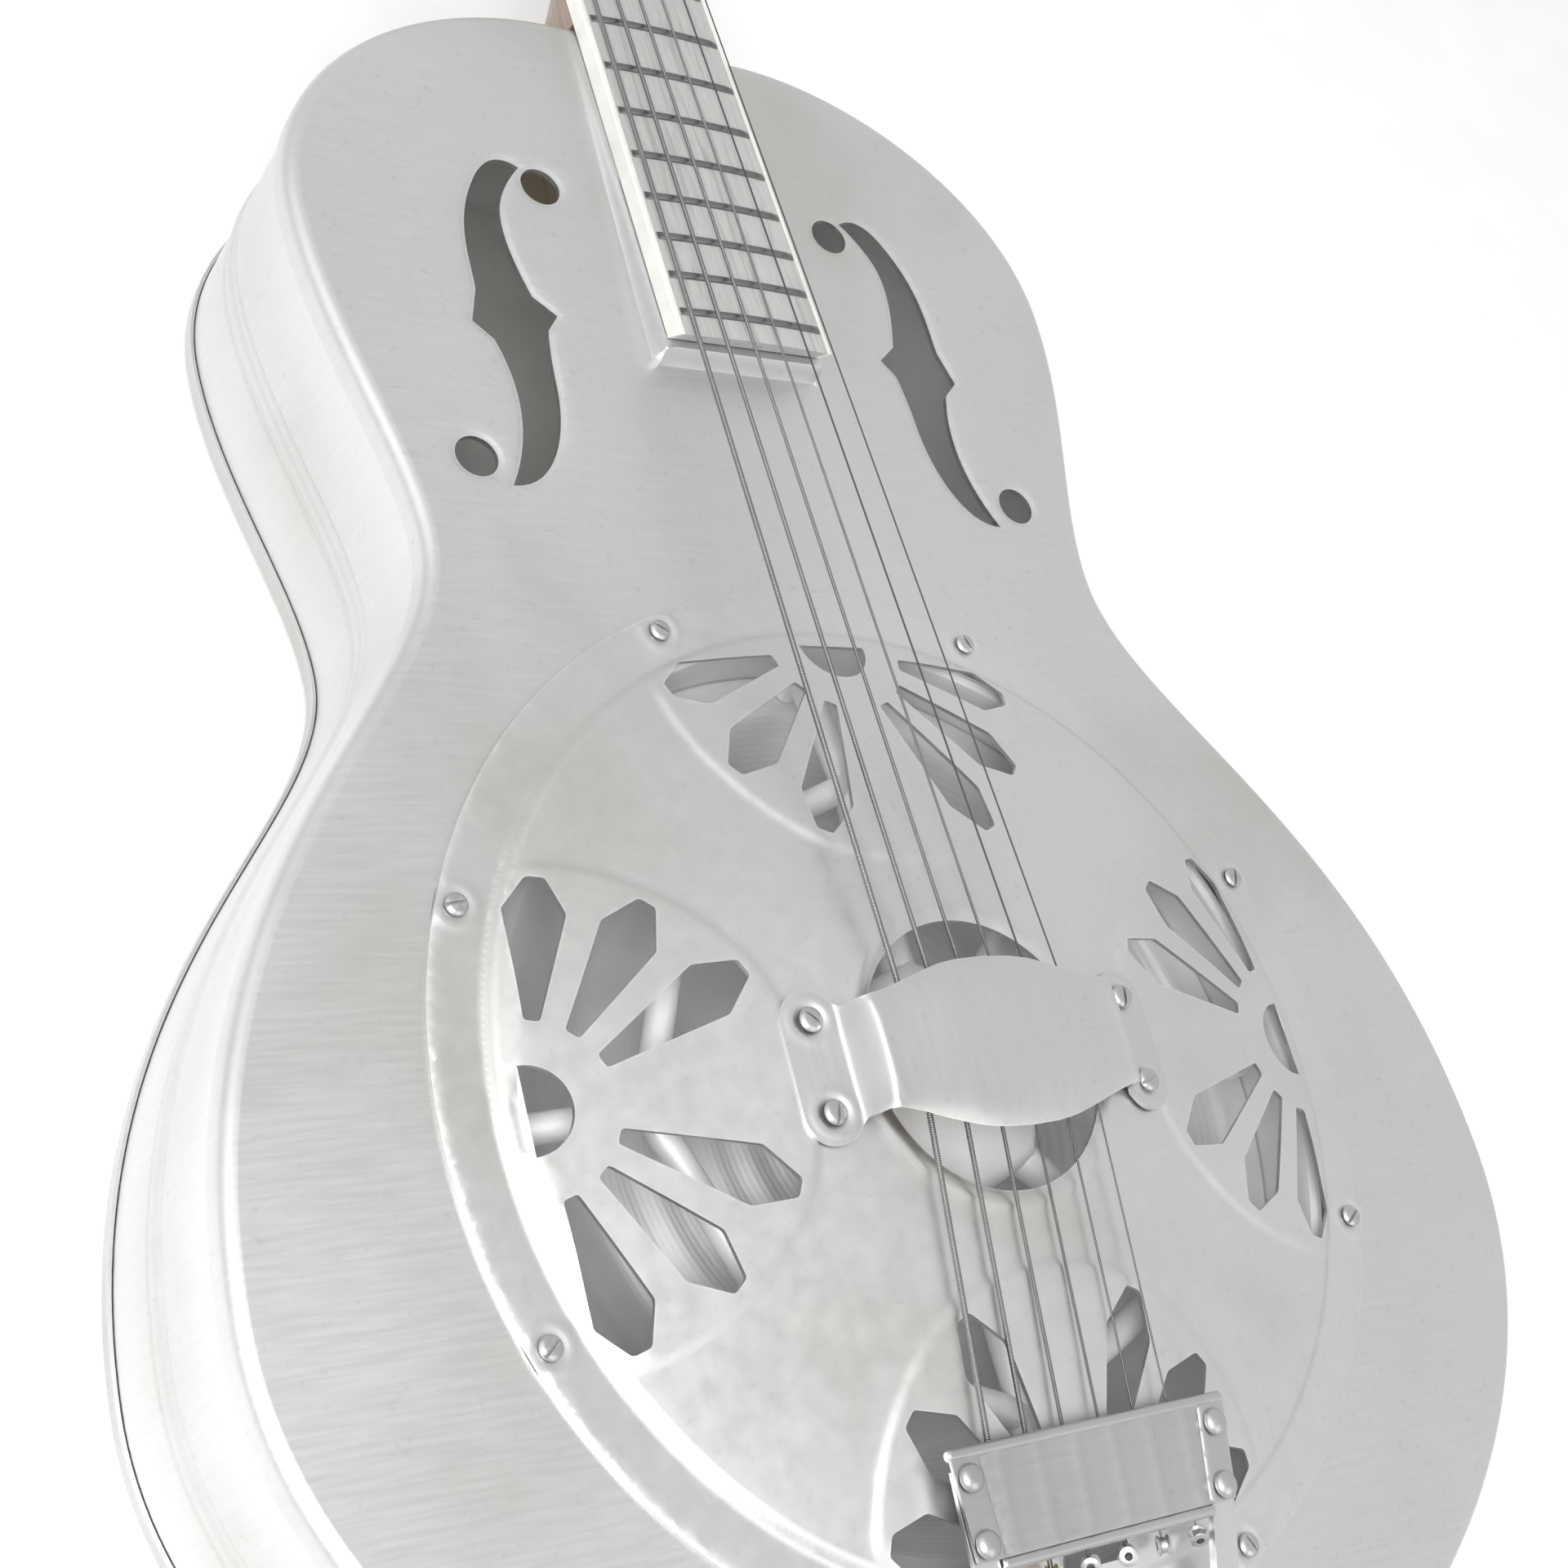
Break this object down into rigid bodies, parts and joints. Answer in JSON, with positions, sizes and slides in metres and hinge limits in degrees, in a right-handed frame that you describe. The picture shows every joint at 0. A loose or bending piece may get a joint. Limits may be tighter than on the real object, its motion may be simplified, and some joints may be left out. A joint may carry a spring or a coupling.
{
  "type": "resonator guitar",
  "caption": "Metal-bodied resonator guitar with spider bridge, fan-pierced cover plate, f-holes, palm rest, strap tailpiece and slotted head with worm tuners.",
  "frame": {"origin": "on the flat back, under the axis of the resonator cone", "axes": "+X to the treble side, +Y along the strings towards the head, +Z out of the top; the guitar lies on its back"},
  "size_m": [0.3708, 0.9969, 0.112],
  "materials": {
    "nickel_plate": "satin nickel plate",
    "inner_steel": "drawn steel",
    "spun_aluminium": "spun and cast aluminium",
    "screw_steel": "turned steel",
    "maple": "plain maple",
    "bright_plate": "polished plate",
    "ebony": "oiled wood",
    "mahogany": "satin lacquer",
    "bone": "polished bone colour",
    "tuner_steel": "plated steel",
    "brass": "bright brass",
    "string_steel": "drawn wire"
  },
  "bodies": {
    "root": {"body_top": "nickel_plate", "body_sides": "nickel_plate", "body_back": "nickel_plate", "cone_well": "inner_steel", "resonator_cone": "spun_aluminium", "spider_bridge": "spun_aluminium", "spider_screw": "screw_steel", "cover_screw_1": "screw_steel", "cover_screw_2": "screw_steel", "cover_screw_3": "screw_steel", "cover_screw_4": "screw_steel", "cover_screw_5": "screw_steel", "cover_screw_6": "screw_steel", "cover_screw_7": "screw_steel", "cover_screw_8": "screw_steel", "palm_rest_screw_1": "screw_steel", "palm_rest_screw_2": "screw_steel", "palm_rest_screw_3": "screw_steel", "palm_rest_screw_4": "screw_steel", "tailpiece_rivet_1": "screw_steel", "tailpiece_rivet_2": "screw_steel", "tailpiece_rivet_3": "screw_steel", "tailpiece_rivet_4": "screw_steel", "bridge_saddle": "maple", "neck_stick": "maple", "stick_block_1": "maple", "stick_block_2": "maple", "cover_plate": "bright_plate", "palm_rest": "bright_plate", "tailpiece_plate": "bright_plate", "tailpiece_hanger": "bright_plate", "end_pin": "ebony", "fretboard": "ebony", "neck": "mahogany", "nut": "bone", "tuner_plate_bass": "tuner_steel", "tuner_plate_treble": "tuner_steel", "string_1": "string_steel", "string_2": "string_steel", "string_3": "string_steel", "string_4": "string_steel", "string_5": "string_steel", "string_6": "string_steel"},
    "button_bass_1": {"tuner_button_bass_1": "bone"},
    "roller_bass_1": {"tuner_roller_bass_1": "brass"},
    "button_bass_2": {"tuner_button_bass_2": "bone"},
    "roller_bass_2": {"tuner_roller_bass_2": "brass"},
    "button_bass_3": {"tuner_button_bass_3": "bone"},
    "roller_bass_3": {"tuner_roller_bass_3": "brass"},
    "button_treble_1": {"tuner_button_treble_1": "bone"},
    "roller_treble_1": {"tuner_roller_treble_1": "brass"},
    "button_treble_2": {"tuner_button_treble_2": "bone"},
    "roller_treble_2": {"tuner_roller_treble_2": "brass"},
    "button_treble_3": {"tuner_button_treble_3": "bone"},
    "roller_treble_3": {"tuner_roller_treble_3": "brass"}
  },
  "joints": [
    {"name": "button_bass_1_turn", "type": "hinge", "parent": "root", "child": "button_bass_1", "pos_m": [-0.0384, 0.69814, 0.05422], "axis": [0, 0.22, 0.9755], "continuous": true},
    {"name": "roller_bass_1_turn", "type": "hinge", "parent": "root", "child": "roller_bass_1", "pos_m": [0, 0.68674, 0.0491], "axis": [1, 0, 0], "continuous": true},
    {"name": "button_bass_2_turn", "type": "hinge", "parent": "root", "child": "button_bass_2", "pos_m": [-0.0384, 0.73326, 0.0463], "axis": [0, 0.22, 0.9755], "continuous": true},
    {"name": "roller_bass_2_turn", "type": "hinge", "parent": "root", "child": "roller_bass_2", "pos_m": [0, 0.72185, 0.04118], "axis": [1, 0, 0], "continuous": true},
    {"name": "button_bass_3_turn", "type": "hinge", "parent": "root", "child": "button_bass_3", "pos_m": [-0.0384, 0.76838, 0.03838], "axis": [0, 0.22, 0.9755], "continuous": true},
    {"name": "roller_bass_3_turn", "type": "hinge", "parent": "root", "child": "roller_bass_3", "pos_m": [0, 0.75697, 0.03326], "axis": [1, 0, 0], "continuous": true},
    {"name": "button_treble_1_turn", "type": "hinge", "parent": "root", "child": "button_treble_1", "pos_m": [0.0384, 0.69814, 0.05422], "axis": [0, 0.22, 0.9755], "continuous": true},
    {"name": "roller_treble_1_turn", "type": "hinge", "parent": "root", "child": "roller_treble_1", "pos_m": [0, 0.68674, 0.0491], "axis": [1, 0, 0], "continuous": true},
    {"name": "button_treble_2_turn", "type": "hinge", "parent": "root", "child": "button_treble_2", "pos_m": [0.0384, 0.73326, 0.0463], "axis": [0, 0.22, 0.9755], "continuous": true},
    {"name": "roller_treble_2_turn", "type": "hinge", "parent": "root", "child": "roller_treble_2", "pos_m": [0, 0.72185, 0.04118], "axis": [1, 0, 0], "continuous": true},
    {"name": "button_treble_3_turn", "type": "hinge", "parent": "root", "child": "button_treble_3", "pos_m": [0.0384, 0.76838, 0.03838], "axis": [0, 0.22, 0.9755], "continuous": true},
    {"name": "roller_treble_3_turn", "type": "hinge", "parent": "root", "child": "roller_treble_3", "pos_m": [0, 0.75697, 0.03326], "axis": [1, 0, 0], "continuous": true}
  ],
  "couplings": [
    {"joint": "roller_bass_1_turn", "follows": "button_bass_1_turn", "ratio": -0.066667},
    {"joint": "roller_bass_2_turn", "follows": "button_bass_2_turn", "ratio": -0.066667},
    {"joint": "roller_bass_3_turn", "follows": "button_bass_3_turn", "ratio": -0.066667},
    {"joint": "roller_treble_1_turn", "follows": "button_treble_1_turn", "ratio": -0.066667},
    {"joint": "roller_treble_2_turn", "follows": "button_treble_2_turn", "ratio": -0.066667},
    {"joint": "roller_treble_3_turn", "follows": "button_treble_3_turn", "ratio": -0.066667}
  ]
}
